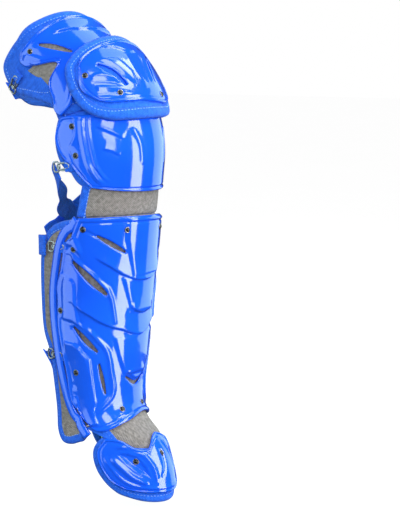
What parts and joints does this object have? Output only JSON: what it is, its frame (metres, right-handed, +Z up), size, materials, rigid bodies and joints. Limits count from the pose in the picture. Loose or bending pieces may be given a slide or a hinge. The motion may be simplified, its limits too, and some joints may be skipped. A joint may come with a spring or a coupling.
{
  "type": "catcher leg guard",
  "caption": "Right-leg catcher's guard: glossy moulded plates over padded, perforated lining, with calf and thigh webbing held by snap hooks and sliders.",
  "frame": {"origin": "on the leg's axis in the middle of the shin hollow, at the mount leg_seat", "axes": "+Z up along the lower leg towards the knee, -Y towards the front of the guard, +X towards the inner side of the right leg"},
  "size_m": [0.1474, 0.2295, 0.5982],
  "materials": {
    "shell": "glossy moulded plastic, royal blue",
    "binding": "matte bound fabric, royal blue",
    "webbing": "woven webbing, royal blue",
    "mesh": "woven mesh, warm grey",
    "padding": "matte padded fabric, black",
    "leather": "soft grained cover, black",
    "insert": "smooth rubbery gel, yellow",
    "hook_wire": "bright plated wire",
    "slider": "moulded plastic, black",
    "buckle": "smooth painted metal, silver white",
    "rivet": "domed rivet, dark"
  },
  "bodies": {
    "root": {"shin_plate": "shell", "lower_knee_plate": "shell", "knee_cap": "shell", "thigh_plate": "shell", "toe_plate": "shell", "thigh_pad": "binding", "knee_pad": "binding", "neck_band": "mesh", "shin_liner": "padding", "lateral_wing": "mesh", "medial_wing": "mesh", "ankle_gusset": "mesh", "toe_pad": "binding", "knee_cup": "leather", "knee_cup_insert": "insert", "ankle_roll": "padding", "knee_cap_pad": "binding", "thigh_strap": "webbing", "upper_calf_strap": "webbing", "lateral_calf_strap": "webbing", "harness_arm": "webbing", "upper_lateral_strap": "webbing", "lower_lateral_strap": "webbing", "lower_medial_strap": "webbing", "medial_tab": "webbing", "harness_panel": "webbing", "thigh_hook": "hook_wire", "knee_hook": "hook_wire", "calf_hook": "hook_wire", "ankle_hook": "hook_wire", "thigh_side_hook": "hook_wire", "knee_side_hook": "hook_wire", "calf_side_hook": "hook_wire", "ankle_side_hook": "hook_wire", "knee_slider": "slider", "calf_slider": "slider", "ankle_buckle": "buckle", "shin_rivet_1": "rivet", "shin_rivet_2": "rivet", "shin_rivet_3": "rivet", "shin_rivet_4": "rivet", "shin_rivet_5": "rivet", "shin_rivet_6": "rivet", "shin_rivet_7": "rivet", "shin_rivet_8": "rivet", "shin_rivet_9": "rivet", "shin_rivet_10": "rivet", "shin_rivet_11": "rivet", "shin_rivet_12": "rivet", "knee_rivet_1": "rivet", "knee_rivet_2": "rivet", "knee_rivet_3": "rivet", "knee_rivet_4": "rivet", "cap_rivet_1": "rivet", "cap_rivet_2": "rivet", "cap_rivet_3": "rivet", "thigh_rivet_1": "rivet", "thigh_rivet_2": "rivet", "toe_rivet_1": "rivet", "toe_rivet_2": "rivet"}
  },
  "joints": []
}
